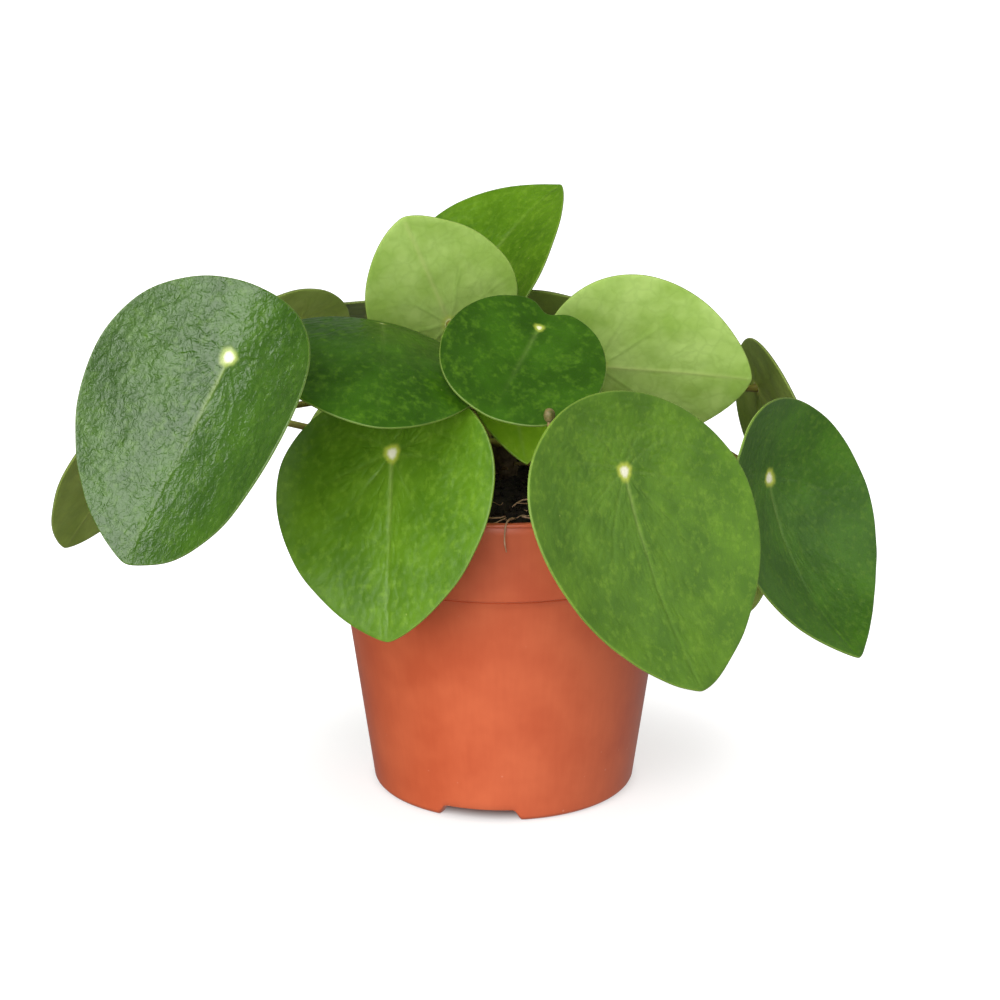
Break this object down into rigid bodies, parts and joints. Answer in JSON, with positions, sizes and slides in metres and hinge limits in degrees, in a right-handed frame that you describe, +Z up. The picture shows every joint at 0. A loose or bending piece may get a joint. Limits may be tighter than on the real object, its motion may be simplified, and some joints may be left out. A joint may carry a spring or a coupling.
{
  "type": "potted pilea plant",
  "caption": "Young pilea with round leathery leaves on long stalks round a short stem, growing in compost in a terracotta-coloured plastic nursery pot.",
  "frame": {"origin": "on the surface the pot stands on, under the centre of the whole plant's box; the pot's own axis stands 13.2 mm to +X and 5.2 mm to -Y of it", "axes": "+Z up along the pot's axis, -Y towards the front of the plant, +X towards its right as seen from the front"},
  "size_m": [0.2822, 0.2493, 0.1977],
  "materials": {
    "pot_plastic": "satin terracotta-coloured moulded plastic",
    "peat_compost": "dark crumbly peat compost",
    "brown_stem": "brown corky bark",
    "leaf_blade": "semi-gloss leathery green leaf",
    "petiole_skin": "smooth olive-green stalk",
    "bud_skin": "brownish green bud",
    "root_skin": "pale tan root"
  },
  "bodies": {
    "root": {"back_left_blade": "leaf_blade", "back_left_dark_blade": "leaf_blade", "back_left_dark_petiole": "petiole_skin", "back_left_petiole": "petiole_skin", "back_middle_blade": "leaf_blade", "back_middle_petiole": "petiole_skin", "back_right_blade": "leaf_blade", "back_right_petiole": "petiole_skin", "bud": "bud_skin", "bud_stalk": "bud_skin", "centre_blade": "leaf_blade", "centre_petiole": "petiole_skin", "far_left_back_blade": "leaf_blade", "far_left_back_petiole": "petiole_skin", "far_left_blade": "leaf_blade", "far_left_petiole": "petiole_skin", "far_right_blade": "leaf_blade", "far_right_petiole": "petiole_skin", "front_left_blade": "leaf_blade", "front_left_petiole": "petiole_skin", "front_right_blade": "leaf_blade", "front_right_petiole": "petiole_skin", "mid_left_blade": "leaf_blade", "mid_left_petiole": "petiole_skin", "pot": "pot_plastic", "rear_left_blade": "leaf_blade", "rear_left_petiole": "petiole_skin", "rear_right_blade": "leaf_blade", "rear_right_petiole": "petiole_skin", "rear_side_blade": "leaf_blade", "rear_side_petiole": "petiole_skin", "right_pale_blade": "leaf_blade", "right_pale_petiole": "petiole_skin", "root_back": "root_skin", "root_left": "root_skin", "root_over_rim": "root_skin", "root_right": "root_skin", "soil": "peat_compost", "stem": "brown_stem", "top_dark_blade": "leaf_blade", "top_dark_petiole": "petiole_skin", "top_pale_blade": "leaf_blade", "top_pale_petiole": "petiole_skin", "young_blade": "leaf_blade", "young_petiole": "petiole_skin"}
  },
  "joints": []
}
